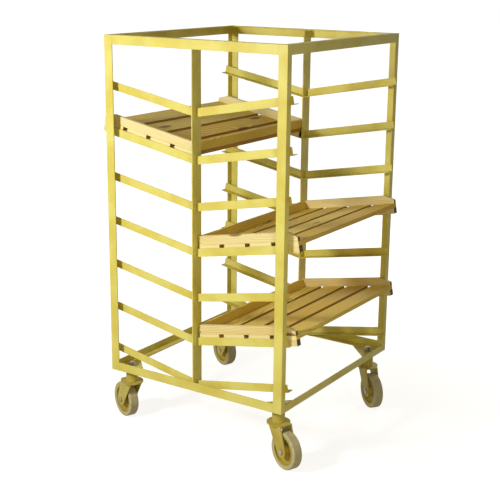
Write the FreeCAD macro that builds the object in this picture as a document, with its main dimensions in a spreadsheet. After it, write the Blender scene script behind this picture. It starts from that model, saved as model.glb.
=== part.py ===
import FreeCAD, Part
import math
import os
import Sketcher

# Bakery bread rack, millimetres. +Z is up, X runs along the long closed sides' faces, Y from the
# front to the back. The origin is on the floor under the middle of the footprint.

doc = FreeCAD.newDocument("bread_rack")
sheet = doc.addObject("Spreadsheet::Sheet", "sizes")

SIZES = [
    # welded frame
    ("frame_w", 830),           # outside width along X
    ("frame_d", 865),           # outside depth along Y
    ("frame_high", 1370),       # height of the posts
    ("post_long", 38),          # leg of a corner post that lies along X
    ("post_short", 28),         # leg of a corner post that lies along Y, runners lie against it
    ("frame_wall", 4),          # thickness of posts, rails and seats
    ("top_rail_up", 36),        # upright leg of a top rail
    ("top_rail_in", 30),        # flat leg of a top rail
    ("base_rail_up", 36),       # upright leg of the front and back base rails
    ("base_side_up", 30),       # upright leg of the left and right base rails
    ("base_rail_in", 36),       # flat leg of a base rail
    ("mid_wall", 5),            # thickness of a middle bar
    # tray runners
    ("runner_leg", 32),         # both legs of the runner angle
    ("runner_wall", 3),
    ("runner_over", 12),        # runner's end beyond the frame's side
    ("slope", 10.5),            # rise of the runners towards the outside, degrees
    ("tiers", 7),
    ("head_room", 110),         # height of the posts that the tiers don't share out
    # caster seats, necks and kingpins
    ("seat_leg", 175),          # frame's outer face to a seat's far end along the rail
    ("pivot_side", 52),         # frame's left and right faces to a kingpin's axis
    ("pivot_face", 66),         # frame's front and back faces to a kingpin's axis
    ("neck_d", 50),
    ("neck_long", 60),
    ("kingpin_d", 16),
    ("kingpin_af", 24),         # across the flats of its head and nut
    ("kingpin_head_high", 10),
    ("kingpin_nut_high", 13),
    ("kingpin_end", 4),         # thread beyond the nut
    ("washer_d", 34),
    ("washer_wall", 3),
    # fork and axle
    ("swivel_gap", 0.4),        # fork to neck and to kingpin head, axially
    ("swivel_fit", 0.05),       # fork's hole around the kingpin, radially
    ("crown_d", 92),
    ("crown_wall", 5),
    ("cheek_wall", 4),
    ("cheek_top_front", 34),    # cheek's upper edge ahead of the kingpin's axis
    ("cheek_top_back", 50),     # cheek's and hood's upper edge behind it
    ("cheek_boss_r", 26),       # cheek's round end about the axle
    ("trail", 56),              # kingpin's axis to the axle
    ("wheel_top_gap", 19.6),    # wheel's top to the crown
    ("axle_d", 12),
    ("axle_head_d", 22),
    ("axle_head_high", 5),
    ("axle_fit", 0.05),         # wheel's bore around the axle, radially
    # wheel and tyre
    ("wheel_d", 150),
    ("tyre_w", 40),
    ("tyre_wall", 15),
    ("tyre_round", 6),
    ("hub_d", 44),
    ("hub_past", 3),            # hub's end beyond the tyre's side
    ("hub_side_gap", 0.5),
    ("web_wall", 6),
    ("rim_inset", 2),           # rim's edge inside the tyre's side
    ("rim_wall", 5),
    # wooden trays
    ("tray_deep", 450),         # along the slope
    ("tray_side_gap", 4),       # each end of the tray to the runner
    ("tray_stop_gap", 0.5),     # low edge of the tray to the middle bar
    ("bearer_high", 25),
    ("bearer_wide", 25),
    ("slat_wall", 16),
    ("slat_gap", 22),
    ("slats", 4),
    ("board_high", 36),
    ("board_wall", 15),
    ("clip_long", 42),          # clipped upper outer corner of an end board
    ("clip_drop", 20),
]

for row, (alias, value) in enumerate(SIZES, start=1):
    sheet.set("A%d" % row, str(value))
    sheet.setAlias("A%d" % row, alias)
doc.recompute()


def ex(text):
    """Turn words that name a size into references to the sheet."""
    names = sorted([alias for alias, _ in SIZES], key=len, reverse=True)
    out = ""
    word = ""
    for letter in text + " ":
        if letter.isalnum() or letter == "_":
            word += letter
        else:
            out += "sizes." + word if word in names else word
            out += letter
            word = ""
    return out.strip()


HALF_W = "frame_w/2"
HALF_D = "frame_d/2"
AXLE_DROP = "(neck_long+swivel_gap+crown_wall+wheel_top_gap+wheel_d/2)"
LIFT = "(wheel_d/2+%s)" % AXLE_DROP
TIER_PITCH = "((frame_high-head_room)/tiers)"
TAN = "tan(slope*1deg)"
COS = "cos(slope*1deg)"
SIN = "sin(slope*1deg)"

# Corners of the base: name, side along X, side along Y, heading of the caster in degrees.
# The front-right and back-left casters, and so the whole footprint, are a half-turn apart.
CORNERS = [
    ("front_left", -1, -1, 158),
    ("front_right", 1, -1, -22),
    ("back_left", -1, 1, 158),
    ("back_right", 1, 1, -37),
]

# Trays: name, bay (-1 left, 1 right), tier counted from the top.
TRAYS = [("tray_1", -1, 2), ("tray_2", 1, 4), ("tray_3", 1, 6)]


def new_body(label):
    body = doc.addObject("PartDesign::Body", label)
    body.Label = label
    return body


def origin_part(body, role):
    for feature in body.Origin.OriginFeatures:
        if feature.Role == role:
            return feature
    raise ValueError("no origin feature " + role)


def new_sketch(body, name, role, at):
    """Sketch on an origin plane of the body, moved along the plane's world axis by 'at'."""
    sketch = body.newObject("Sketcher::SketchObject", name)
    sketch.AttachmentSupport = [(origin_part(body, role), "")]
    sketch.MapMode = "FlatFace"
    sign = "-" if role == "XZ_Plane" else ""
    sketch.setExpression("AttachmentOffset.Base.z", ex("%s(%s)" % (sign, at)))
    return sketch


def fix_point(sketch, geometry, position, x, y):
    """Hold one point of the sketch at expressions for its two coordinates."""
    for kind, text in (("DistanceX", x), ("DistanceY", y)):
        number = sketch.addConstraint(Sketcher.Constraint(kind, -1, 1, geometry, position, 1.0))
        sketch.setExpression("Constraints[%d]" % number, ex(text))


def add_outline(sketch, points):
    """Closed run of straight lines through points given as pairs of expressions."""
    first = sketch.GeometryCount
    count = len(points)
    ring = []
    for i in range(count):
        turn = 2 * math.pi * i / count + 0.3
        ring.append(FreeCAD.Vector(20 * math.cos(turn), 20 * math.sin(turn), 0))
    for i in range(count):
        sketch.addGeometry(Part.LineSegment(ring[i], ring[(i + 1) % count]), False)
    for i in range(count):
        after = first + (i + 1) % count
        sketch.addConstraint(Sketcher.Constraint("Coincident", first + i, 2, after, 1))
    for i, (x, y) in enumerate(points):
        fix_point(sketch, first + i, 1, x, y)


def add_circle(sketch, x, y, diameter):
    number = sketch.addGeometry(Part.Circle(FreeCAD.Vector(1, 1, 0), FreeCAD.Vector(0, 0, 1), 3))
    fix_point(sketch, number, 3, x, y)
    size = sketch.addConstraint(Sketcher.Constraint("Diameter", number, 6.0))
    sketch.setExpression("Constraints[%d]" % size, ex(diameter))


def rectangle(x0, y0, x1, y1):
    return [(x0, y0), (x1, y0), (x1, y1), (x0, y1)]


def grow(body, name, sketch, role, length):
    """Pad the sketch towards the plus side of the world axis that its plane is square to."""
    pad = body.newObject("PartDesign::Pad", name)
    pad.Profile = (sketch, [""])
    pad.Reversed = role == "XZ_Plane"
    pad.setExpression("Length", ex(length))
    body.Tip = pad
    return pad


def cut(body, name, sketch, role, length):
    """Pocket the sketch towards the plus side of the world axis that its plane is square to."""
    pocket = body.newObject("PartDesign::Pocket", name)
    pocket.Profile = (sketch, [""])
    pocket.Reversed = role != "XZ_Plane"
    pocket.setExpression("Length", ex(length))
    body.Tip = pocket
    return pocket


def bar(body, name, role, at, length, points):
    sketch = new_sketch(body, name + "_sketch", role, at)
    add_outline(sketch, points)
    return grow(body, name, sketch, role, length)


def turned(body, name, points):
    """Revolve a half section (radius, height) about the body's Z axis."""
    sketch = new_sketch(body, name + "_sketch", "XZ_Plane", "0")
    add_outline(sketch, points)
    solid = body.newObject("PartDesign::Revolution", name)
    solid.Profile = (sketch, [""])
    solid.ReferenceAxis = (origin_part(body, "Z_Axis"), [""])
    solid.Angle = 360
    body.Tip = solid
    return solid


def place(thing, x, y, z, axis, degrees):
    """Put a piece at expressions for its position, turned by a positive angle about an axis."""
    thing.Placement = FreeCAD.Placement(FreeCAD.Vector(0, 0, 0), FreeCAD.Rotation(axis, 1))
    thing.setExpression("Placement.Base.x", ex(x))
    thing.setExpression("Placement.Base.y", ex(y))
    thing.setExpression("Placement.Base.z", ex(z))
    thing.setExpression("Placement.Rotation.Angle", ex("(%s)*1deg" % degrees))


def span(sign, near, far):
    """Low end and length of a stretch from 'near' to 'far' on the plus or minus side of zero."""
    low = near if sign > 0 else "-(%s)" % far
    return low, "(%s)-(%s)" % (far, near)


nodes = []


# Corner posts: open angles with the corner outwards, full height.
for corner, sx, sy, _ in CORNERS:
    post = new_body("post_" + corner)
    section = [
        (HALF_W, HALF_D),
        (HALF_W + "-post_long", HALF_D),
        (HALF_W + "-post_long", HALF_D + "-frame_wall"),
        (HALF_W + "-frame_wall", HALF_D + "-frame_wall"),
        (HALF_W + "-frame_wall", HALF_D + "-post_short"),
        (HALF_W, HALF_D + "-post_short"),
    ]
    signed = [("%d*(%s)" % (sx, x), "%d*(%s)" % (sy, y)) for x, y in section]
    bar(post, "post_angle", "XY_Plane", LIFT, "frame_high", signed)
    nodes.append(post)

# Middle bars: flat bars on edge behind the rails, from the base rail's flat leg to the top
# rail's, as deep as the inner edge of the runners.
for side, sy in (("front", -1), ("back", 1)):
    mid_bar = new_body("mid_bar_" + side)
    low, deep = span(sy, HALF_D + "-post_short-runner_leg", HALF_D + "-frame_wall")
    section = rectangle("-mid_wall/2", LIFT + "+frame_wall",
                        "mid_wall/2", LIFT + "+frame_high-frame_wall")
    bar(mid_bar, "flat_bar", "XZ_Plane", low, deep, section)
    nodes.append(mid_bar)

# Top rails: angles between the posts, flat leg on top and inwards. The flat legs of the front
# and back rails run on inside the posts and close the corners.
TOP = LIFT + "+frame_high"
for side, sy in (("front", -1), ("back", 1)):
    rail = new_body("top_rail_" + side)
    low, deep = span(sy, HALF_D + "-frame_wall", HALF_D)
    bar(rail, "upright_leg", "XZ_Plane", low, deep,
        rectangle("-(%s-post_long)" % HALF_W, TOP + "-top_rail_up",
                  HALF_W + "-post_long", TOP))
    low, deep = span(sy, HALF_D + "-top_rail_in", HALF_D + "-frame_wall")
    bar(rail, "flat_leg", "XZ_Plane", low, deep,
        rectangle("-(%s-frame_wall)" % HALF_W, TOP + "-frame_wall",
                  HALF_W + "-frame_wall", TOP))
    nodes.append(rail)
for side, sx in (("left", -1), ("right", 1)):
    rail = new_body("top_rail_" + side)
    low, deep = span(sx, HALF_W + "-frame_wall", HALF_W)
    bar(rail, "upright_leg", "YZ_Plane", low, deep,
        rectangle("-(%s-post_short)" % HALF_D, TOP + "-top_rail_up",
                  HALF_D + "-post_short", TOP))
    low, deep = span(sx, HALF_W + "-top_rail_in", HALF_W + "-frame_wall")
    bar(rail, "flat_leg", "YZ_Plane", low, deep,
        rectangle("-(%s-top_rail_in)" % HALF_D, TOP + "-frame_wall",
                  HALF_D + "-top_rail_in", TOP))
    nodes.append(rail)

# Base rails: angles between the posts, flat leg at the bottom and inwards, mitred to the
# caster seats.
for side, sy in (("front", -1), ("back", 1)):
    rail = new_body("base_rail_" + side)
    low, deep = span(sy, HALF_D + "-frame_wall", HALF_D)
    bar(rail, "upright_leg", "XZ_Plane", low, deep,
        rectangle("-(%s-post_long)" % HALF_W, LIFT,
                  HALF_W + "-post_long", LIFT + "+base_rail_up"))
    outer = "(%s-seat_leg)" % HALF_W
    inner = "(%s-seat_leg+base_rail_in-frame_wall)" % HALF_W
    bar(rail, "flat_leg", "XY_Plane", LIFT, "frame_wall", [
        ("-" + outer, "%d*(%s-frame_wall)" % (sy, HALF_D)),
        (outer, "%d*(%s-frame_wall)" % (sy, HALF_D)),
        (inner, "%d*(%s-base_rail_in)" % (sy, HALF_D)),
        ("-" + inner, "%d*(%s-base_rail_in)" % (sy, HALF_D)),
    ])
    nodes.append(rail)
for side, sx in (("left", -1), ("right", 1)):
    rail = new_body("base_rail_" + side)
    low, deep = span(sx, HALF_W + "-frame_wall", HALF_W)
    bar(rail, "upright_leg", "YZ_Plane", low, deep,
        rectangle("-(%s-post_short)" % HALF_D, LIFT,
                  HALF_D + "-post_short", LIFT + "+base_side_up"))
    outer = "(%s-seat_leg)" % HALF_D
    inner = "(%s-seat_leg+base_rail_in-frame_wall)" % HALF_D
    bar(rail, "flat_leg", "XY_Plane", LIFT, "frame_wall", [
        ("%d*(%s-frame_wall)" % (sx, HALF_W), "-" + outer),
        ("%d*(%s-frame_wall)" % (sx, HALF_W), outer),
        ("%d*(%s-base_rail_in)" % (sx, HALF_W), inner),
        ("%d*(%s-base_rail_in)" % (sx, HALF_W), "-" + inner),
    ])
    nodes.append(rail)

# Caster seats: a triangular plate in each base corner, level with the rails' flat legs, with a
# hole for the kingpin.
for corner, sx, sy, _ in CORNERS:
    seat = new_body("seat_" + corner)
    bar(seat, "triangle", "XY_Plane", LIFT, "frame_wall", [
        ("%d*(%s-frame_wall)" % (sx, HALF_W), "%d*(%s-frame_wall)" % (sy, HALF_D)),
        ("%d*(%s-seat_leg)" % (sx, HALF_W), "%d*(%s-frame_wall)" % (sy, HALF_D)),
        ("%d*(%s-frame_wall)" % (sx, HALF_W), "%d*(%s-seat_leg)" % (sy, HALF_D)),
    ])
    hole = new_sketch(seat, "hole_sketch", "XY_Plane", LIFT)
    add_circle(hole, "%d*(%s-pivot_side)" % (sx, HALF_W), "%d*(%s-pivot_face)" % (sy, HALF_D),
               "kingpin_d")
    cut(seat, "hole", hole, "XY_Plane", "frame_wall")
    nodes.append(seat)

# Tray runners: angles with the upright leg outside and the flat leg at the bottom and inwards.
# The inner end is cut upright against the middle bar, the outer end square. The lowest runner
# stands on the base rail's flat leg.
RUNNER_X0 = "mid_wall/2"
RUNNER_Z0 = LIFT + "+frame_wall"
RUNNER_X1 = HALF_W + "+runner_over"
RUNNER_Z1 = "%s+(%s-%s)*%s" % (RUNNER_Z0, RUNNER_X1, RUNNER_X0, TAN)
for side, sx, sy, _ in CORNERS:
    panel = new_body("runners_" + side)

    def side_view(thick):
        points = [
            (RUNNER_X0, RUNNER_Z0),
            (RUNNER_X1, RUNNER_Z1),
            ("%s-%s*%s" % (RUNNER_X1, thick, SIN), "%s+%s*%s" % (RUNNER_Z1, thick, COS)),
            (RUNNER_X0, "%s+%s/%s" % (RUNNER_Z0, thick, COS)),
        ]
        return [("%d*(%s)" % (sx, x), z) for x, z in points]

    low, deep = span(sy, HALF_D + "-post_short-runner_wall", HALF_D + "-post_short")
    leg = bar(panel, "upright_leg", "XZ_Plane", low, deep, side_view("runner_leg"))
    low, deep = span(sy, HALF_D + "-post_short-runner_leg",
                     HALF_D + "-post_short-runner_wall")
    flat = bar(panel, "flat_leg", "XZ_Plane", low, deep, side_view("runner_wall"))
    stack = panel.newObject("PartDesign::LinearPattern", "tiers_up")
    stack.Originals = [leg, flat]
    stack.Direction = (origin_part(panel, "Z_Axis"), [""])
    stack.setExpression("Length", ex("(tiers-1)*" + TIER_PITCH))
    stack.setExpression("Occurrences", ex("tiers"))
    panel.Tip = stack
    nodes.append(panel)

# Caster heights, measured down from the frame's underside.
CROWN_LOW = "(-neck_long-swivel_gap-crown_wall)"
HEAD_TOP = "(-neck_long-2*swivel_gap-crown_wall)"
HUB_END = "(tyre_w/2+hub_past)"
RIM_EDGE = "(tyre_w/2-rim_inset)"
CHEEK_IN = "(tyre_w/2+hub_past+hub_side_gap)"
CHEEK_OUT = "(tyre_w/2+hub_past+hub_side_gap+cheek_wall)"
RIM_D = "(wheel_d-2*tyre_wall)"


def add_cheek(sketch):
    """Cheek seen from the side: straight top, and two edges tangent to a round end at the axle."""
    size = {alias: float(value) for alias, value in SIZES}
    top = -size["neck_long"] - size["swivel_gap"] - size["crown_wall"]
    centre = FreeCAD.Vector(size["trail"], top - size["wheel_top_gap"] - size["wheel_d"] / 2, 0)
    radius = size["cheek_boss_r"]
    front = FreeCAD.Vector(-size["cheek_top_front"], top, 0)
    back = FreeCAD.Vector(size["cheek_top_back"], top, 0)
    touches = []
    for start, side in ((front, -1), (back, 1)):
        to_centre = centre - start
        lean = math.atan2(to_centre.y, to_centre.x)
        lean += side * (math.asin(radius / to_centre.Length) + math.pi / 2)
        touches.append(lean)
    low_front, low_back = [
        centre + FreeCAD.Vector(radius * math.cos(turn), radius * math.sin(turn), 0)
        for turn in touches]
    sketch.addGeometry(Part.LineSegment(front, back), False)
    sketch.addGeometry(Part.LineSegment(front, low_front), False)
    sketch.addGeometry(Part.LineSegment(back, low_back), False)
    circle = Part.Circle(centre, FreeCAD.Vector(0, 0, 1), radius)
    sketch.addGeometry(Part.ArcOfCircle(circle, touches[0], touches[1]), False)
    sketch.addConstraint(Sketcher.Constraint("Coincident", 0, 1, 1, 1))
    sketch.addConstraint(Sketcher.Constraint("Coincident", 0, 2, 2, 1))
    sketch.addConstraint(Sketcher.Constraint("Tangent", 1, 2, 3, 1))
    sketch.addConstraint(Sketcher.Constraint("Tangent", 2, 2, 3, 2))
    fix_point(sketch, 0, 1, "-cheek_top_front", CROWN_LOW)
    fix_point(sketch, 0, 2, "cheek_top_back", CROWN_LOW)
    fix_point(sketch, 3, 3, "trail", "-" + AXLE_DROP)
    number = sketch.addConstraint(Sketcher.Constraint("Radius", 3, radius))
    sketch.setExpression("Constraints[%d]" % number, ex("cheek_boss_r"))


for corner, sx, sy, heading in CORNERS:
    pivot_x = "%d*(%s-pivot_side)" % (sx, HALF_W)
    pivot_y = "%d*(%s-pivot_face)" % (sy, HALF_D)

    # Neck: round boss under the seat, bored for the kingpin.
    neck = new_body("neck_" + corner)
    sketch = new_sketch(neck, "boss_sketch", "XY_Plane", "-neck_long")
    add_circle(sketch, "0", "0", "neck_d")
    add_circle(sketch, "0", "0", "kingpin_d")
    grow(neck, "boss", sketch, "XY_Plane", "neck_long")
    place(neck, pivot_x, pivot_y, LIFT, FreeCAD.Vector(0, 0, 1), "0")
    nodes.append(neck)

    # Fork: round crown with a running hole on the kingpin, a square hood behind it, and two
    # cheeks down to the axle.
    fork = new_body("fork_" + corner)
    sketch = new_sketch(fork, "crown_sketch", "XY_Plane", CROWN_LOW)
    add_circle(sketch, "0", "0", "crown_d")
    grow(fork, "crown", sketch, "XY_Plane", "crown_wall")
    bar(fork, "hood", "XY_Plane", CROWN_LOW, "crown_wall",
        rectangle("0", "-" + CHEEK_OUT, "cheek_top_back", CHEEK_OUT))
    for cheek, sign in (("left_cheek", 1), ("right_cheek", -1)):
        low, deep = span(sign, CHEEK_IN, CHEEK_OUT)
        sketch = new_sketch(fork, cheek + "_sketch", "XZ_Plane", low)
        add_cheek(sketch)
        grow(fork, cheek, sketch, "XZ_Plane", deep)
    sketch = new_sketch(fork, "kingpin_hole_sketch", "XY_Plane", CROWN_LOW)
    add_circle(sketch, "0", "0", "kingpin_d+2*swivel_fit")
    cut(fork, "kingpin_hole", sketch, "XY_Plane", "crown_wall")
    sketch = new_sketch(fork, "axle_hole_sketch", "XZ_Plane", "-" + CHEEK_OUT)
    add_circle(sketch, "trail", "-" + AXLE_DROP, "axle_d")
    cut(fork, "axle_hole", sketch, "XZ_Plane", "2*" + CHEEK_OUT)
    up_or_down = FreeCAD.Vector(0, 0, math.copysign(1, heading))
    place(fork, pivot_x, pivot_y, LIFT, up_or_down, str(abs(heading)))
    nodes.append(fork)

    # Axle, wheel disc and tyre are turned about the axle, which lies square to the heading.
    axle = new_body("axle_" + corner)
    turned(axle, "axle_turning", [
        ("0", "-%s-axle_head_high" % CHEEK_OUT),
        ("axle_head_d/2", "-%s-axle_head_high" % CHEEK_OUT),
        ("axle_head_d/2", "-" + CHEEK_OUT),
        ("axle_d/2", "-" + CHEEK_OUT),
        ("axle_d/2", CHEEK_OUT),
        ("axle_head_d/2", CHEEK_OUT),
        ("axle_head_d/2", CHEEK_OUT + "+axle_head_high"),
        ("0", CHEEK_OUT + "+axle_head_high"),
    ])
    wheel = new_body("wheel_" + corner)
    turned(wheel, "wheel_turning", [
        ("axle_d/2+axle_fit", "-" + HUB_END),
        ("hub_d/2", "-" + HUB_END),
        ("hub_d/2", "-web_wall/2"),
        (RIM_D + "/2-rim_wall", "-web_wall/2"),
        (RIM_D + "/2-rim_wall", "-" + RIM_EDGE),
        (RIM_D + "/2", "-" + RIM_EDGE),
        (RIM_D + "/2", RIM_EDGE),
        (RIM_D + "/2-rim_wall", RIM_EDGE),
        (RIM_D + "/2-rim_wall", "web_wall/2"),
        ("hub_d/2", "web_wall/2"),
        ("hub_d/2", HUB_END),
        ("axle_d/2+axle_fit", HUB_END),
    ])
    tyre = new_body("tyre_" + corner)
    ring = turned(tyre, "tyre_turning", [
        (RIM_D + "/2", "-" + RIM_EDGE),
        (RIM_D + "/2+tyre_wall/3", "-tyre_w/2"),
        ("wheel_d/2", "-tyre_w/2"),
        ("wheel_d/2", "tyre_w/2"),
        (RIM_D + "/2+tyre_wall/3", "tyre_w/2"),
        (RIM_D + "/2", RIM_EDGE),
    ])
    doc.recompute()
    shoulders = []
    for number, edge in enumerate(ring.Shape.Edges, start=1):
        if edge.Closed and abs(edge.Curve.Radius - ring.Shape.BoundBox.XLength / 2) < 1e-4:
            shoulders.append("Edge%d" % number)
    rounded = tyre.newObject("PartDesign::Fillet", "tyre_shoulders")
    rounded.Base = (ring, shoulders)
    rounded.setExpression("Radius", ex("tyre_round"))
    tyre.Tip = rounded
    across = FreeCAD.Vector(math.cos(math.radians(heading)), math.sin(math.radians(heading)), 0)
    for piece in (axle, wheel, tyre):
        place(piece, "%s+trail*cos(%d*1deg)" % (pivot_x, heading),
              "%s+trail*sin(%d*1deg)" % (pivot_y, heading),
              "wheel_d/2", across, "90")
        nodes.append(piece)


def four_corners(body, original):
    """Repeat a piece of the front-left corner at the other three corners."""
    grid = body.newObject("PartDesign::LinearPattern", "at_the_corners")
    grid.Originals = original
    grid.Direction = (origin_part(body, "X_Axis"), [""])
    grid.setExpression("Length", ex("frame_w-2*pivot_side"))
    grid.Occurrences = 2
    grid.Direction2 = (origin_part(body, "Y_Axis"), [""])
    grid.setExpression("Length2", ex("frame_d-2*pivot_face"))
    grid.Occurrences2 = 2
    body.Tip = grid


def add_hexagon(sketch, x, y):
    """Hexagon of the kingpin's head or nut about a point given by expressions."""
    corners = []
    for i in range(6):
        corners.append(("%s+kingpin_af/sqrt(3)*cos(%d*1deg)" % (x, 60 * i),
                        "%s+kingpin_af/sqrt(3)*sin(%d*1deg)" % (y, 60 * i)))
    add_outline(sketch, corners)


# Kingpins: bolts from below through crown, neck and seat, with a washer and a nut on the seat.
# The fork turns between the neck and the bolt's head.
FIRST_X = "-(%s-pivot_side)" % HALF_W
FIRST_Y = "-(%s-pivot_face)" % HALF_D
SEAT_TOP = LIFT + "+frame_wall"
kingpins = new_body("kingpins")
sketch = new_sketch(kingpins, "head_sketch", "XY_Plane",
                    "%s+%s-kingpin_head_high" % (LIFT, HEAD_TOP))
add_hexagon(sketch, FIRST_X, FIRST_Y)
head = grow(kingpins, "head", sketch, "XY_Plane", "kingpin_head_high")
sketch = new_sketch(kingpins, "shank_sketch", "XY_Plane", "%s+%s" % (LIFT, HEAD_TOP))
add_circle(sketch, FIRST_X, FIRST_Y, "kingpin_d")
shank = grow(kingpins, "shank", sketch, "XY_Plane",
             "frame_wall+washer_wall+kingpin_nut_high+kingpin_end-%s" % HEAD_TOP)
four_corners(kingpins, [head, shank])
nodes.append(kingpins)

washers = new_body("kingpin_washers")
sketch = new_sketch(washers, "washer_sketch", "XY_Plane", SEAT_TOP)
add_circle(sketch, FIRST_X, FIRST_Y, "washer_d")
add_circle(sketch, FIRST_X, FIRST_Y, "kingpin_d")
four_corners(washers, [grow(washers, "washer", sketch, "XY_Plane", "washer_wall")])
nodes.append(washers)

nuts = new_body("kingpin_nuts")
sketch = new_sketch(nuts, "nut_sketch", "XY_Plane", SEAT_TOP + "+washer_wall")
add_hexagon(sketch, FIRST_X, FIRST_Y)
add_circle(sketch, FIRST_X, FIRST_Y, "kingpin_d")
four_corners(nuts, [grow(nuts, "nut", sketch, "XY_Plane", "kingpin_nut_high")])
nodes.append(nuts)

# Trays. Own frame of each: x along the slope from the low edge, y along the length, z square to
# the runners. Two bearers lie on the runners, the slats across them, the boards on the slats.
TRAY_HALF = "(%s-post_short-runner_wall-tray_side_gap)" % HALF_D
SLATS_TOP = "(bearer_high+slat_wall)"
TRAY_HIGH = "(bearer_high+slat_wall+board_high)"
SLAT_W = "((tray_deep-(slats-1)*slat_gap)/slats)"
for tray, bay, tier in TRAYS:
    pieces = []
    for side, sy in (("front", -1), ("back", 1)):
        board = new_body("%s_%s_board" % (tray, side))
        low, deep = span(sy, TRAY_HALF + "-board_wall", TRAY_HALF)
        bar(board, "clipped_board", "XZ_Plane", low, deep, [
            ("0", SLATS_TOP),
            ("%d*tray_deep" % bay, SLATS_TOP),
            ("%d*tray_deep" % bay, TRAY_HIGH + "-clip_drop"),
            ("%d*(tray_deep-clip_long)" % bay, TRAY_HIGH),
            ("0", TRAY_HIGH),
        ])
        pieces.append(board)
    long_board = new_body(tray + "_long_board")
    bar(long_board, "board", "XZ_Plane", "-(%s-board_wall)" % TRAY_HALF,
        "2*(%s-board_wall)" % TRAY_HALF,
        rectangle("0", SLATS_TOP, "%d*board_wall" % bay, TRAY_HIGH))
    pieces.append(long_board)
    slats = new_body(tray + "_slats")
    slat = bar(slats, "first_slat", "XZ_Plane", "-" + TRAY_HALF, "2*" + TRAY_HALF,
               rectangle("0", "bearer_high", "%d*%s" % (bay, SLAT_W), SLATS_TOP))
    row = slats.newObject("PartDesign::LinearPattern", "slats_across")
    row.Originals = [slat]
    row.Direction = (origin_part(slats, "X_Axis"), [""])
    row.Reversed = bay < 0
    row.setExpression("Length", ex("tray_deep-" + SLAT_W))
    row.setExpression("Occurrences", ex("slats"))
    slats.Tip = row
    pieces.append(slats)
    bearers = new_body(tray + "_bearers")
    for side, sy in (("front", -1), ("back", 1)):
        low, deep = span(sy, TRAY_HALF + "-bearer_wide", TRAY_HALF)
        bar(bearers, side + "_bearer", "XZ_Plane", low, deep,
            rectangle("0", "0", "%d*tray_deep" % bay, "bearer_high"))
    pieces.append(bearers)
    low_x = "(mid_wall/2+tray_stop_gap+%s*%s)" % (TRAY_HIGH, SIN)
    low_z = "%s+frame_wall+(tiers-%d)*%s+runner_wall/%s+(%s-%s)*%s" % (
        LIFT, tier, TIER_PITCH, COS, low_x, RUNNER_X0, TAN)
    for piece in pieces:
        place(piece, "%d*%s" % (bay, low_x), "0", low_z, FreeCAD.Vector(0, -bay, 0), "slope")
        nodes.append(piece)

doc.recompute()

os.makedirs("parts", exist_ok=True)
for thing in doc.Objects:
    for word in ("Invalid", "Error"):
        if word in thing.State:
            raise RuntimeError("%s is in state %s" % (thing.Label, thing.State))
for node in nodes:
    if node.Shape.isNull() or not node.Shape.isValid():
        raise RuntimeError(node.Label + " has a bad shape")
    node.Shape.exportStep("parts/%s.step" % node.Label)
    print("%-26s solids %2d volume %12.1f" % (node.Label, len(node.Shape.Solids), node.Shape.Volume))
print(len(nodes), "nodes")
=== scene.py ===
import math

import bpy
import numpy as np
from mathutils import Matrix


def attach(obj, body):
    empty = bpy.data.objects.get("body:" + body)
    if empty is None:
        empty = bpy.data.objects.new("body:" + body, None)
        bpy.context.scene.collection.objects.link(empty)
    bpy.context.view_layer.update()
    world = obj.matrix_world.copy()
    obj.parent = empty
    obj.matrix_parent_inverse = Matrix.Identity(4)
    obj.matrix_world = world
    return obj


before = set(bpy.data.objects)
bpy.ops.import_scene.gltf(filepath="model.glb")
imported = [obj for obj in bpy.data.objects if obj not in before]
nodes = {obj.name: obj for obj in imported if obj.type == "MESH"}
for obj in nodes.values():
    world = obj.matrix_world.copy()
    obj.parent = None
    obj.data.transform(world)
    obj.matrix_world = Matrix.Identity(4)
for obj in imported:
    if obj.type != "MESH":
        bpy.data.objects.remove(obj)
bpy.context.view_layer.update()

scene = bpy.context.scene

# ---------------------------------------------------------- sizes and colours

# Sizes of the rack in metres, as built.
FRAME_W = 0.830             # over the posts, across the two bays
FRAME_D = 0.865             # over the posts, along the trays
FRAME_LOW = 0.235           # underside of the base rails, above the floor
BASE_WALL = 0.004
MID_WALL = 0.005            # middle bars
SLOPE = math.radians(10.5)  # runners and trays rise this much outwards
TIERS = 7                   # counted from the top down
TIER_PITCH = 0.180
RUNNER_INSET = 0.028        # from the posts' outer faces to the runners'
RUNNER_LEG = 0.032
RUNNER_WALL = 0.003
TRAY_STOP_GAP = 0.0005      # between a tray and the middle bars that stop it
TRAY_HALF = 0.3975          # half a tray's length, along the rack
TRAY_DEEP = 0.450           # up the slope
TRAY_HIGH = 0.077
BOARD_WALL = 0.015
SLAT_PITCH = 0.118
SLAT_GAP = 0.022
TRAYS = [("tray_1", -1, 2), ("tray_2", 1, 4), ("tray_3", 1, 6)]  # name, bay, tier

# Small rounds on the edges.
STEEL_EASE = 0.0006
WOOD_EASE = 0.0012
EASE_STEPS = 2
EASE_ANGLE = math.radians(35)   # only edges sharper than this are eased
JOIN_WITHIN = 0.00001           # points nearer than this become one

# Weld beads where the runners meet the posts and the middle bars.
BEAD_RADIUS = 0.0028
BEAD_SHORT = 0.0015         # kept clear of the runner's edge at each end
BEAD_ROWS = 26
BEAD_ARC = 7
BEAD_TIP = 0.04             # radius left at the very ends, as a share
RIPPLE_LONG = 0.0022
RIPPLE_HIGH = 0.16          # as a share of the radius
BEAD_SINK = 0.0003

# Nails in the end boards, into the long board.
NAIL_RADIUS = 0.0032
NAIL_RISE = 0.0007
NAIL_SINK = 0.0006
NAIL_HEIGHTS = (0.050, 0.068)                 # above the tray's underside
NAIL_RINGS = (1.0, 1.0, 0.8, 0.5, 0.2)        # ring radii, as shares
NAIL_ROUND = 20                               # points in a ring


def paint(red, green, blue):
    """Colour from 0-255 screen values, as the linear values a shader takes."""
    values = [v / 255.0 for v in (red, green, blue)]
    linear = [v / 12.92 if v <= 0.04045 else ((v + 0.055) / 1.055) ** 2.4 for v in values]
    return tuple(linear) + (1.0,)


WHITE = (1.0, 1.0, 1.0, 1.0)

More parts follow.
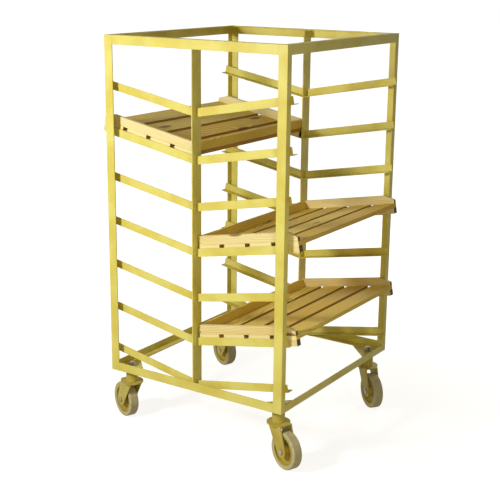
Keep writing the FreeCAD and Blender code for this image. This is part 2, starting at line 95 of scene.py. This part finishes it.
RACK_LIGHT = paint(230, 220, 122)
RACK_DEEP = paint(218, 203, 94)
RACK_RUBBED = paint(160, 132, 44)
RACK_DUSTY = paint(196, 178, 96)

CASTER_LIGHT = paint(202, 190, 92)
CASTER_DEEP = paint(184, 160, 62)
CASTER_RUBBED = paint(132, 100, 42)
CASTER_DUSTY = paint(172, 152, 88)

BEAD_LIGHT = paint(214, 194, 96)
BEAD_DEEP = paint(190, 164, 70)
BEAD_RUBBED = paint(150, 120, 50)

ZINC_BRIGHT = paint(176, 166, 140)
ZINC_DULL = paint(128, 116, 92)
ZINC_RUBBED = paint(208, 202, 186)

RUBBER_DEEP = paint(184, 174, 132)
RUBBER_SCUFFED = paint(206, 196, 154)
RUBBER_EDGE = paint(222, 214, 184)

# Early wood of two planks, then late wood of the same two. The second set, used on the slats and
# the long board, is deeper and more orange: painted shade for the dimmer, warmer light on the
# slats' tops.
END_BOARD_TONES = (paint(252, 246, 198), paint(246, 234, 174),
                   paint(234, 208, 134), paint(216, 184, 104))
SHADED_PINE_TONES = (paint(255, 238, 128), paint(240, 208, 84),
              paint(226, 182, 62), paint(192, 142, 34))
PINE_WARM = paint(222, 192, 112)
PINE_FIBRE = paint(176, 134, 66)
PINE_KNOT = paint(118, 72, 30)
PINE_WORN = paint(150, 112, 60)
# Painted near black on the end boards' sawn ends.
PINE_NEAR_BLACK_END = paint(52, 36, 14)
# Painted shade on the slats' edges in the gaps.
PINE_GAP_SHADE = paint(150, 96, 28)
PINE_FRESH_END = paint(246, 236, 180)


def runner_height(tier, x):
    """Height of a runner's lower edge at a distance x from the rack's middle."""
    low = FRAME_LOW + BASE_WALL + (TIERS - tier) * TIER_PITCH
    return low + (x - MID_WALL / 2) * math.tan(SLOPE)


def tray_point(bay, tier, x, y, z):
    """Point of a tray from its own axes: x up the slope, y along the rack, z square to it."""
    low_x = MID_WALL / 2 + TRAY_STOP_GAP + TRAY_HIGH * math.sin(SLOPE)
    low_z = runner_height(tier, low_x) + RUNNER_WALL / math.cos(SLOPE)
    return (bay * (low_x + x * math.cos(SLOPE) - z * math.sin(SLOPE)), y,
            low_z + x * math.sin(SLOPE) + z * math.cos(SLOPE))


# ------------------------------------------------------------ wiring of nodes

def plug(tree, socket, value):
    """Feed a socket from another node's output, or give it a plain value of its own."""
    if isinstance(value, bpy.types.NodeSocket):
        tree.links.new(value, socket)
    else:
        socket.default_value = value


def feed(tree, node, **values):
    """Feed a node's inputs by name; an underscore stands for a space."""
    for key, value in values.items():
        plug(tree, node.inputs[key.replace("_", " ")], value)


def add(tree, kind, **settings):
    """New node of a kind. A setting names one of its properties or, after a leading 'in_', one
    of its inputs by name or number."""
    node = tree.nodes.new("ShaderNode" + kind)
    for key, value in settings.items():
        if key.startswith("in_"):
            key = key[3:].replace("_", " ")
            plug(tree, node.inputs[int(key) if key.isdigit() else key], value)
        else:
            setattr(node, key, value)
    return node


def maths(tree, how, *values):
    """Result of a sum on one, two or three values."""
    node = add(tree, "Math", operation=how)
    for socket, value in zip(node.inputs, values):
        plug(tree, socket, value)
    return node.outputs[0]


def times(tree, first, second):
    """Product of two values."""
    return maths(tree, "MULTIPLY", first, second)


def plus(tree, first, second):
    """Total of two values."""
    return maths(tree, "ADD", first, second)


def spread(tree, value, width):
    """Value from 0 to 1, as a length from -width / 2 to width / 2."""
    return times(tree, maths(tree, "SUBTRACT", value, 0.5), width)


def step_over(tree, value, low, high, to_low=0.0, to_high=1.0):
    """Value carried smoothly from the stretch low-high to the stretch to_low-to_high."""
    node = add(tree, "MapRange", interpolation_type="SMOOTHSTEP", in_Value=value,
               in_From_Min=low, in_From_Max=high, in_To_Min=to_low, in_To_Max=to_high)
    return node.outputs["Result"]


def blend_colours(tree, mask, first, second):
    """First colour where the mask is 0, second where it is 1."""
    return add(tree, "Mix", data_type="RGBA", in_0=mask, in_6=first, in_7=second).outputs[2]


def lay_over(tree, colour, *coats):
    """Colour with coats over it in turn, each a mask and the colour it lets in."""
    for mask, coat in coats:
        colour = blend_colours(tree, mask, colour, coat)
    return colour


def place_on_piece(tree):
    """Place of a surface point, in the piece's own metres."""
    return add(tree, "TexCoord").outputs["Object"]


def facing(tree):
    """Outward direction of the surface."""
    return add(tree, "NewGeometry").outputs["Normal"]


def axes(tree, vector):
    """X, Y and Z of a vector."""
    return add(tree, "SeparateXYZ", in_0=vector).outputs


def along_line(tree, first, second):
    """How far two directions agree: 1 the same, 0 square, -1 opposite."""
    node = add(tree, "VectorMath", operation="DOT_PRODUCT", in_0=first, in_1=second)
    return node.outputs["Value"]


def noise(tree, place, scale, detail, roughness=0.5):
    """Smooth noise from 0 to 1, with 'scale' waves in a metre."""
    return add(tree, "TexNoise", in_Vector=place, in_Scale=scale, in_Detail=detail,
               in_Roughness=roughness).outputs[0]


def stretched(tree, place, scale):
    """Place with each axis scaled, so that a pattern is drawn out along one of them."""
    return add(tree, "Mapping", in_Vector=place, in_Scale=scale).outputs[0]


def turned(tree, place, angles):
    """Place turned about the X, Y and Z axes."""
    return add(tree, "Mapping", in_Vector=place, in_Rotation=angles).outputs[0]


def number_draw(tree, number):
    """Value from 0 to 1 that differs from plank to plank."""
    return add(tree, "TexWhiteNoise", noise_dimensions="1D", in_W=number).outputs[0]


# ---------------------------------------------------------------- node groups

def start_group(name, inputs, outputs):
    """Empty node group with named inputs (kind, start value) and outputs (kind)."""
    tree = bpy.data.node_groups.new(name, "ShaderNodeTree")
    for label, (kind, value) in inputs.items():
        socket = tree.interface.new_socket(label, in_out="INPUT", socket_type="NodeSocket" + kind)
        if value is not None:
            socket.default_value = value
    for label, kind in outputs.items():
        tree.interface.new_socket(label, in_out="OUTPUT", socket_type="NodeSocket" + kind)
    given = tree.nodes.new("NodeGroupInput").outputs
    return tree, given, tree.nodes.new("NodeGroupOutput")


def place_group(tree, group, **values):
    """Outputs of a node group placed in a material with its own values."""
    node = tree.nodes.new("ShaderNodeGroup")
    node.node_tree = group
    feed(tree, node, **values)
    return node.outputs


def make_edge_rub():
    """Mask of rubbed edges: where the surface turns within a small radius, broken up by noise."""
    tree, given, out = start_group(
        "edge_rub", {"Radius": ("Float", 0.002), "Break Up": ("Float", 60.0)}, {"Mask": "Float"})
    rounded = add(tree, "Bevel", samples=4, in_Radius=given["Radius"]).outputs[0]
    turn = maths(tree, "SUBTRACT", 1.0, along_line(tree, rounded, facing(tree)))
    rough = noise(tree, place_on_piece(tree), given["Break Up"], 4.0, 0.6)
    lifted = times(tree, turn, step_over(tree, rough, 0.3, 0.7, 0.3, 2.2))
    feed(tree, out, Mask=step_over(tree, lifted, 0.02, 0.16))
    return tree


def make_enamel_skin():
    """Enamel: slow tone changes, orange peel, fine specks, and dust on what faces up."""
    tree, given, out = start_group(
        "enamel_skin", {"Peel Scale": ("Float", 420.0)},
        {"Tone": "Float", "Peel": "Float", "Dust": "Float", "Speck": "Float"})
    place = place_on_piece(tree)
    patches = noise(tree, place, 34.0, 6.0, 0.7)
    upward = step_over(tree, axes(tree, facing(tree))["Z"], 0.35, 0.95)
    feed(tree, out,
         Tone=noise(tree, place, 7.0, 3.0),
         Peel=noise(tree, place, given["Peel Scale"], 2.0),
         Dust=times(tree, upward, step_over(tree, patches, 0.35, 0.72)),
         Speck=step_over(tree, noise(tree, place, 230.0, 3.0), 0.64, 0.74))
    return tree


def make_pine_grain():
    """Sawn pine. Growth rings are distances from a pith line that runs nearly along the board,
    bent by slow noise, with a slow rise and a sharp dark end in each ring. Fibres are fine noise
    stretched along the board. Knots are stretched cells that push the rings aside."""
    wander, aside = 0.085, 0.07     # metres the rings stray, within and between planks
    lean, below = 0.035, 0.034      # the pith line's tilt, and its depth below zero height
    push, reach = 0.012, 0.42       # metres a knot pushes the rings, and how far out, in cells
    tree, given, out = start_group(
        "pine_grain",
        {"Board": ("Vector", None), "Plank": ("Float", 0.0), "Ring Width": ("Float", 0.0055)},
        {"Ring": "Float", "Fibre": "Float", "Knot": "Float", "Tone": "Float", "Height": "Float"})
    board, plank = given["Board"], given["Plank"]
    # Every plank reads another part of the log.
    shift = add(tree, "CombineXYZ", in_X=times(tree, plank, 0.317), in_Y=times(tree, plank, 2.71),
                in_Z=times(tree, plank, 0.173)).outputs[0]
    log = add(tree, "VectorMath", operation="ADD", in_0=board, in_1=shift).outputs[0]
    own = axes(tree, board)
    bend = noise(tree, stretched(tree, log, (5.0, 0.9, 5.0)), 1.6, 2.0)
    across = plus(tree, plus(tree, own["X"], spread(tree, bend, wander)),
                  spread(tree, number_draw(tree, plank), aside))
    deep = plus(tree, plus(tree, own["Z"], times(tree, own["Y"], lean)), below)
    away = maths(tree, "SQRT", plus(tree, times(tree, across, across), times(tree, deep, deep)))
    knots = add(tree, "TexVoronoi", feature="F1", in_Scale=1.0, in_Randomness=1.0,
                in_Vector=stretched(tree, log, (9.0, 3.1, 9.0))).outputs["Distance"]
    bulge = step_over(tree, knots, 0.0, reach, push, 0.0)
    count = maths(tree, "DIVIDE", plus(tree, away, bulge), given["Ring Width"])
    part = maths(tree, "FRACT", count)
    rise = step_over(tree, part, 0.15, 0.88)
    ring = times(tree, rise, step_over(tree, part, 0.9, 1.0, 1.0, 0.0))
    fibre = noise(tree, stretched(tree, log, (420.0, 9.0, 420.0)), 1.0, 4.0, 0.65)
    feed(tree, out,
         Ring=ring,
         Fibre=fibre,
         Knot=step_over(tree, knots, 0.085, 0.14, 1.0, 0.0),
         Tone=noise(tree, stretched(tree, log, (14.0, 2.2, 14.0)), 1.0, 3.0),
         Height=plus(tree, times(tree, ring, 0.55), times(tree, fibre, 0.45)))
    return tree


EDGE_RUB = make_edge_rub()
ENAMEL_SKIN = make_enamel_skin()
PINE_GRAIN = make_pine_grain()


# ------------------------------------------------------------------ materials

def start_material(name):
    """New material, its node tree and its shader."""
    material = bpy.data.materials.new(name)
    material.use_nodes = True
    tree = material.node_tree
    return material, tree, tree.nodes["Principled BSDF"]


def bump(tree, height, distance, strength):
    """Surface direction roughened by a height of at most 'distance' metres."""
    node = add(tree, "Bump", in_Height=height, in_Distance=distance, in_Strength=strength)
    return node.outputs[0]


def enamel(name, light, deep, rubbed, dusty, gloss, peel, rub):
    """Yellow enamel with slow tone changes, rubbed edges, specks and dust on what faces up."""
    material, tree, shader = start_material(name)
    skin = place_group(tree, ENAMEL_SKIN, Peel_Scale=peel)
    edge = place_group(tree, EDGE_RUB, Radius=rub)
    colour = lay_over(
        tree, light,
        (step_over(tree, skin["Tone"], 0.35, 0.66), deep),
        (times(tree, skin["Dust"], 0.35), dusty),
        (times(tree, skin["Speck"], 0.22), rubbed),
        (times(tree, edge["Mask"], 0.55), rubbed))
    rough = plus(tree, gloss, times(tree, skin["Dust"], 0.22))
    rough = plus(tree, rough, times(tree, skin["Tone"], 0.10))
    feed(tree, shader, Base_Color=colour, Roughness=rough, Specular_IOR_Level=0.25,
         Coat_Weight=0.04, Coat_Roughness=0.25, Normal=bump(tree, skin["Peel"], 0.00012, 0.6))
    return material


def weld_metal(name, light, deep, rubbed):
    """Enamel over a weld bead, rubbed on the ripples."""
    material, tree, shader = start_material(name)
    skin = place_group(tree, ENAMEL_SKIN, Peel_Scale=900.0)
    edge = place_group(tree, EDGE_RUB, Radius=0.001, Break_Up=300.0)
    colour = lay_over(
        tree, light,
        (step_over(tree, skin["Tone"], 0.3, 0.7), deep),
        (times(tree, edge["Mask"], 0.4), rubbed))
    feed(tree, shader, Base_Color=colour,
         Roughness=step_over(tree, skin["Peel"], 0.3, 0.7, 0.35, 0.55),
         Normal=bump(tree, skin["Peel"], 0.0002, 0.7))
    return material


def bare_steel(name):
    """Zinc-plated steel with a fine turned or rolled grain and dull patches."""
    material, tree, shader = start_material(name)
    place = place_on_piece(tree)
    grain = noise(tree, place, 900.0, 3.0)
    patches = noise(tree, place, 90.0, 4.0)
    edge = place_group(tree, EDGE_RUB, Radius=0.0012, Break_Up=180.0)
    colour = lay_over(
        tree, ZINC_BRIGHT,
        (step_over(tree, patches, 0.35, 0.7), ZINC_DULL),
        (times(tree, edge["Mask"], 0.5), ZINC_RUBBED))
    feed(tree, shader, Base_Color=colour, Metallic=0.85,
         Roughness=step_over(tree, patches, 0.3, 0.7, 0.30, 0.52),
         Normal=bump(tree, grain, 0.00005, 0.5))
    return material


def tyre_rubber(name):
    """Dusty grey-brown rubber, paler where it is scuffed and along its edges."""
    material, tree, shader = start_material(name)
    place = place_on_piece(tree)
    scuff = noise(tree, place, 55.0, 6.0, 0.7)
    grit = noise(tree, place, 700.0, 2.0)
    edge = place_group(tree, EDGE_RUB, Radius=0.004, Break_Up=120.0)
    colour = lay_over(
        tree, RUBBER_DEEP,
        (step_over(tree, scuff, 0.35, 0.68), RUBBER_SCUFFED),
        (times(tree, edge["Mask"], 0.5), RUBBER_EDGE))
    feed(tree, shader, Base_Color=colour,
         Roughness=step_over(tree, scuff, 0.3, 0.7, 0.62, 0.82),
         Normal=bump(tree, grit, 0.0002, 0.5))
    return material


def up_the_slope(tree, level):
    """Which tier a levelled tray point lies on, from the floor up, and how far it is up the tray
    from its low end. Levelled trays lie one above the other, each TIER_PITCH * sin(SLOPE)
    further out than the tier below."""
    own = axes(tree, level)
    tier = maths(tree, "FLOOR", maths(tree, "DIVIDE", own["Z"], TIER_PITCH))
    # The tray on tier 6 of the runners reads as 2 here.
    low_x, _, low_z = tray_point(1, 6, 0.0, 0.0, 0.0)
    first = low_x * math.cos(SLOPE) + (low_z - 2 * TIER_PITCH) * math.sin(SLOPE)
    start = maths(tree, "MULTIPLY_ADD", tier, TIER_PITCH * math.sin(SLOPE), first)
    return tier, maths(tree, "SUBTRACT", maths(tree, "ABSOLUTE", own["X"]), start)


def pine(name, bay, kind):
    """Pine of a tray in one bay: its slats, its long board, or its end boards and bearers. The
    grain runs along y, so each kind is turned until its length lies there."""
    material, tree, shader = start_material(name)
    level = turned(tree, place_on_piece(tree), (0.0, bay * SLOPE, 0.0))
    tier, up_slope = up_the_slope(tree, level)
    # Rows number the planks of a tray: slats 0 to 3, end boards 8 and 10, the long board 17.
    if kind == "slats":
        laid, tones = level, SHADED_PINE_TONES
        past = plus(tree, up_slope, SLAT_GAP / 2)
        row = maths(tree, "FLOOR", maths(tree, "DIVIDE", past, SLAT_PITCH))
    elif kind == "long_board":
        laid, tones = turned(tree, level, (0.0, math.pi / 2, 0.0)), SHADED_PINE_TONES
        row = 17.0
    else:
        laid, tones = turned(tree, level, (0.0, 0.0, math.pi / 2)), END_BOARD_TONES
        row = plus(tree, maths(tree, "SIGN", axes(tree, level)["Y"]), 9.0)
    plank = maths(tree, "MULTIPLY_ADD", tier, 5.37, row)
    grain = place_group(tree, PINE_GRAIN, Board=laid, Plank=plank)
    edge = place_group(tree, EDGE_RUB, Radius=0.003, Break_Up=90.0)
    which = number_draw(tree, plank)
    colour = lay_over(
        tree, blend_colours(tree, which, tones[0], tones[1]),
        (times(tree, grain["Ring"], 0.85), blend_colours(tree, which, tones[2], tones[3])),
        (step_over(tree, grain["Tone"], 0.42, 0.72, 0.0, 0.45), PINE_WARM),
        (step_over(tree, grain["Fibre"], 0.5, 0.8, 0.0, 0.30), PINE_FIBRE),
        (times(tree, grain["Knot"], 0.85), PINE_KNOT),
        (times(tree, edge["Mask"], 0.30), PINE_WORN))
    face = facing(tree)
    on_slope = along_line(tree, face, (bay * math.cos(SLOPE), 0.0, math.sin(SLOPE)))
    up_or_down = step_over(tree, maths(tree, "ABSOLUTE", on_slope), 0.35, 0.6)
    if kind == "end_boards":
        # Their sawn ends are painted near black.
        colour = lay_over(tree, colour, (times(tree, up_or_down, 0.95), PINE_NEAR_BLACK_END))
    elif kind == "slats":
        # Their edges in the gaps, all but the last edge, get painted shade, and their ends are
        # fresh.
        in_gap = step_over(tree, up_slope, TRAY_DEEP - 0.012, TRAY_DEEP - 0.008, 0.75, 0.0)
        ends = step_over(tree, maths(tree, "ABSOLUTE", axes(tree, face)["Y"]), 0.6, 0.9, 0.0, 0.8)
        colour = lay_over(tree, colour, (times(tree, up_or_down, in_gap), PINE_GAP_SHADE),
                          (ends, PINE_FRESH_END))
    feed(tree, shader, Base_Color=colour, Specular_IOR_Level=0.2,
         Roughness=step_over(tree, grain["Ring"], 0.0, 1.0, 0.66, 0.52),
         Normal=bump(tree, grain["Height"], 0.0003, 0.55))
    return material


RACK_ENAMEL = enamel("rack_enamel", RACK_LIGHT, RACK_DEEP, RACK_RUBBED, RACK_DUSTY,
                     gloss=0.42, peel=420.0, rub=0.0022)
CASTER_ENAMEL = enamel("caster_enamel", CASTER_LIGHT, CASTER_DEEP, CASTER_RUBBED, CASTER_DUSTY,
                       gloss=0.44, peel=600.0, rub=0.0018)
WELD_METAL = weld_metal("enamelled_weld", BEAD_LIGHT, BEAD_DEEP, BEAD_RUBBED)
BARE_STEEL = bare_steel("zinc_plated_steel")
TYRE_RUBBER = tyre_rubber("tyre_rubber")


# ------------------------------------------------------- finish of the pieces

def dress(node_name, material, ease=0.0):
    """Give a piece its material and, where asked, break its sharp edges by a small round."""
    piece = nodes[node_name]
    piece.data.materials.clear()
    piece.data.materials.append(material)
    if ease:
        weld = piece.modifiers.new("joined", "WELD")
        weld.merge_threshold = JOIN_WITHIN
        round_off = piece.modifiers.new("eased", "BEVEL")
        round_off.width = ease
        round_off.segments = EASE_STEPS
        round_off.limit_method = "ANGLE"
        round_off.angle_limit = EASE_ANGLE


for name in nodes:
    if name.startswith(("post_", "mid_bar_", "top_rail_", "base_rail_", "runners_", "seat_")):
        dress(name, RACK_ENAMEL, STEEL_EASE)
    elif name.startswith(("neck_", "fork_", "wheel_")):
        dress(name, CASTER_ENAMEL)
    elif name.startswith(("kingpin", "axle_")):
        dress(name, BARE_STEEL)
    elif name.startswith("tyre_"):
        dress(name, TYRE_RUBBER)

WOOD = {(bay, kind): pine("pine_%s_%s" % (kind, side), bay, kind)
        for bay, side in ((-1, "left"), (1, "right"))
        for kind in ("slats", "long_board", "end_boards")}
for tray, bay, tier in TRAYS:
    dress(tray + "_slats", WOOD[bay, "slats"], WOOD_EASE)
    dress(tray + "_long_board", WOOD[bay, "long_board"], WOOD_EASE)
    for part in ("_front_board", "_back_board", "_bearers"):
        dress(tray + part, WOOD[bay, "end_boards"], WOOD_EASE)


# ----------------------------------------------------------------- new pieces

def build_piece(name, shapes, material, body):
    """One piece from several (points, sides, caps) shapes."""
    points, faces, count = [], [], 0
    for shape_points, sides, caps in shapes:
        points.append(shape_points)
        faces += (sides + count).tolist() + (caps + count).tolist()
        count += len(shape_points)
    mesh = bpy.data.meshes.new(name)
    mesh.from_pydata(np.concatenate(points).tolist(), [], faces)
    mesh.update()
    mesh.shade_smooth()
    mesh.materials.append(material)
    piece = bpy.data.objects.new(name, mesh)
    scene.collection.objects.link(piece)
    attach(piece, body)


def tube_faces(rows, columns):
    """Quads of a tube of 'rows' rings with 'columns' points each, closed round every ring."""
    row = np.arange(rows - 1)[:, None]
    column = np.arange(columns)[None, :]
    here = row * columns + column
    after = row * columns + (column + 1) % columns
    return np.stack([here, after, after + columns, here + columns], axis=-1).reshape(-1, 4)


def weld_bead(start, end, face_a, face_b):
    """Bead in the corner of two faces. Ring u: the corner line from start to end; in it, point v
    turns from one face's outward direction to the other's at radius r(u) = radius * taper(u) *
    (1 + ripple(u)), and one last point closes the ring just inside the corner. taper is the root
    of 1 - (2u - 1)^6, a round end, and ripple a rectified sine with humps of about 2 mm."""
    start, end = np.array(start), np.array(end)
    face_a, face_b = np.array(face_a), np.array(face_b)
    length = np.linalg.norm(end - start)
    u = np.linspace(0.0, 1.0, BEAD_ROWS)[:, None]
    v = np.linspace(0.0, math.pi / 2, BEAD_ARC)[None, :]
    taper = np.sqrt(np.clip(1.0 - (2.0 * u - 1.0) ** 6, 0.0, 1.0)) * (1.0 - BEAD_TIP) + BEAD_TIP
    ripple = RIPPLE_HIGH * np.abs(np.sin(math.pi * u * length / RIPPLE_LONG))
    reach = BEAD_RADIUS * taper * (1.0 + ripple)
    line = start + (end - start) * u
    ring = (line[:, None, :] + (reach * np.cos(v))[..., None] * face_a
            + (reach * np.sin(v))[..., None] * face_b)
    inside = (line - (face_a + face_b) * BEAD_SINK)[:, None, :]
    rings = np.concatenate([ring, inside], axis=1)
    if np.dot(np.cross(face_a, face_b), end - start) < 0:
        rings = rings[:, ::-1]      # so that the faces point outwards
    columns = BEAD_ARC + 1
    first = np.arange(columns)
    caps = np.stack([first[::-1], first + (BEAD_ROWS - 1) * columns])
    return rings.reshape(-1, 3), tube_faces(BEAD_ROWS, columns), caps


def build_runner_welds():
    """A bead up each runner's outer face, at the middle bar and at the post."""
    beads = []
    upright = RUNNER_LEG / math.cos(SLOPE)
    for side_y in (-1, 1):
        y = side_y * (FRAME_D / 2 - RUNNER_INSET)
        for side_x in (-1, 1):
            for tier in range(1, TIERS + 1):
                for x in (MID_WALL / 2, FRAME_W / 2):
                    low = runner_height(tier, x) + BEAD_SHORT
                    high = low + upright - 2 * BEAD_SHORT
                    beads.append(weld_bead((side_x * x, y, low), (side_x * x, y, high),
                                           (side_x, 0.0, 0.0), (0.0, side_y, 0.0)))
    build_piece("runner_welds", beads, WELD_METAL, "rack")


def nail_head(centre, side_y):
    """Domed head: height rise * (1 - (r / radius)^2) over a disc, with a short rim below."""
    outward = np.array((0.0, float(side_y), 0.0))
    across = np.cross(outward, (0.0, 0.0, 1.0))
    up = np.cross(outward, across)
    turn = np.linspace(0.0, 2.0 * math.pi, NAIL_ROUND, endpoint=False)[None, :]
    out = np.array(NAIL_RINGS)[:, None] * NAIL_RADIUS
    dome = NAIL_RISE * (1.0 - (out[1:] / NAIL_RADIUS) ** 2)
    height = np.concatenate([[[-NAIL_SINK]], dome])
    rings = (np.array(centre) + (out * np.cos(turn))[..., None] * across
             + (out * np.sin(turn))[..., None] * up + height[..., None] * outward)
    sides = tube_faces(len(NAIL_RINGS), NAIL_ROUND)[:, ::-1]
    first = np.arange(NAIL_ROUND)
    last = first + (len(NAIL_RINGS) - 1) * NAIL_ROUND
    return rings.reshape(-1, 3), sides, np.stack([first, last[::-1]])


def build_tray_nails(tray, bay, tier):
    """Two nails through each end board into the end of the long board."""
    heads = [nail_head(tray_point(bay, tier, BOARD_WALL / 2, side_y * TRAY_HALF, z), side_y)
             for side_y in (-1, 1) for z in NAIL_HEIGHTS]
    build_piece(tray + "_nails", heads, BARE_STEEL, tray)


build_runner_welds()
for tray, bay, tier in TRAYS:
    build_tray_nails(tray, bay, tier)


# ---------------------------------------------------- floor, light and camera

FLOOR_HALF = 30.0
FLOOR_COLOUR = (0.40, 0.38, 0.34, 1.0)
NEAR_GLOW, NEAR = 0.84, 0.6     # glow of the floor up to this many metres from the middle
FULL_GLOW, FAR = 1.0, 1.9       # and from here outwards
ROOM_COLOUR = (1.0, 0.89, 0.68, 1.0)
ROOM_STRENGTH = 0.19

# Name, place, target, width, height, watts and colour.
LAMPS = [
    ("key_lamp", (-0.8, -2.7, 1.85), (0.0, 0.0, 0.7), 0.4, 0.4, 57.0, (1.0, 0.98, 0.92)),
    ("fill_lamp", (1.25, -1.3, 0.9), (0.3, -0.2, 0.9), 0.3, 1.4, 5.6, (1.0, 0.92, 0.66)),
    ("back_lamp", (-0.2, 3.8, 1.6), (0.0, 0.0, 0.8), 1.0, 1.0, 44.0, (1.0, 0.96, 0.86)),
]

CAMERA_PLACE = (2.3578, -3.6001, 1.8697)
YAW, PITCH, ROLL = (math.radians(v) for v in (33.4238, 14.9744, 0.582))
FOCAL_TO_WIDTH = 1067.3679 / 500.0
SENSOR = 36.0


def seen_as_background(tree):
    """1 for rays that see the background, straight or in gloss or glass; 0 for rays that light
    the rack."""
    rays = add(tree, "LightPath").outputs
    seen = maths(tree, "MAXIMUM", rays["Is Camera Ray"], rays["Is Glossy Ray"])
    return maths(tree, "MAXIMUM", seen, rays["Is Transmission Ray"])


def build_floor():
    """Plain pale floor that looks white and keeps the rack's shadow. Its glow is seen but lights
    nothing. Near the rack it is a little below white, so that the lamps' light fills it up and
    the shadow stays. Further out it is full white."""
    corner = FLOOR_HALF
    mesh = bpy.data.meshes.new("floor")
    mesh.from_pydata([(-corner, -corner, 0), (corner, -corner, 0),
                      (corner, corner, 0), (-corner, corner, 0)], [], [(0, 1, 2, 3)])
    floor = bpy.data.objects.new("floor", mesh)
    scene.collection.objects.link(floor)
    material, tree, shader = start_material("floor_white")
    away = add(tree, "VectorMath", operation="LENGTH", in_0=place_on_piece(tree)).outputs["Value"]
    glow = step_over(tree, away, NEAR, FAR, NEAR_GLOW, FULL_GLOW)
    feed(tree, shader, Base_Color=FLOOR_COLOUR, Roughness=0.9, Specular_IOR_Level=0.0,
         Emission_Color=WHITE, Emission_Strength=times(tree, seen_as_background(tree), glow))
    mesh.materials.append(material)


def build_world():
    """Warm dim room light on the rack, and a white backdrop behind it."""
    world = bpy.data.worlds.new("studio")
    world.use_nodes = True
    tree = world.node_tree
    room = tree.nodes["Background"]
    feed(tree, room, Color=ROOM_COLOUR, Strength=ROOM_STRENGTH)
    backdrop = add(tree, "Background", in_Color=WHITE, in_Strength=1.0)
    either = add(tree, "MixShader", in_0=seen_as_background(tree), in_1=room.outputs[0],
                 in_2=backdrop.outputs[0])
    feed(tree, tree.nodes["World Output"], Surface=either.outputs[0])
    scene.world = world


def add_lamp(name, place, target, wide, high, watts, colour):
    """Soft box at a place, aimed at a target point."""
    lamp = bpy.data.lights.new(name, "AREA")
    lamp.shape = "RECTANGLE"
    lamp.size = wide
    lamp.size_y = high
    lamp.energy = watts
    lamp.color = colour
    holder = bpy.data.objects.new(name, lamp)
    scene.collection.objects.link(holder)
    holder.visible_camera = False
    x, y, z = (t - p for t, p in zip(target, place))
    tilt = math.pi / 2 - math.atan2(-z, math.hypot(x, y))
    holder.location = place
    holder.rotation_euler = (tilt, 0.0, math.atan2(y, x) - math.pi / 2)


def aim_camera():
    """Camera at its place, turned by yaw, tipped down by pitch, then rolled."""
    lens = bpy.data.cameras.new("camera")
    lens.sensor_width = SENSOR
    lens.lens = FOCAL_TO_WIDTH * SENSOR
    lens.clip_end = 100.0
    holder = bpy.data.objects.new("camera", lens)
    scene.collection.objects.link(holder)
    ahead = np.array([-math.sin(YAW) * math.cos(PITCH), math.cos(YAW) * math.cos(PITCH),
                      -math.sin(PITCH)])
    level = np.array([math.cos(YAW), math.sin(YAW), 0.0])
    above = np.cross(level, ahead)
    right = math.cos(ROLL) * level + math.sin(ROLL) * above
    up = -math.sin(ROLL) * level + math.cos(ROLL) * above
    turn = Matrix(np.stack([right, up, -ahead], axis=1).tolist()).to_4x4()
    holder.matrix_world = Matrix.Translation(CAMERA_PLACE) @ turn
    scene.camera = holder


build_floor()
build_world()
for lamp in LAMPS:
    add_lamp(*lamp)
aim_camera()

scene.view_settings.view_transform = "Standard"
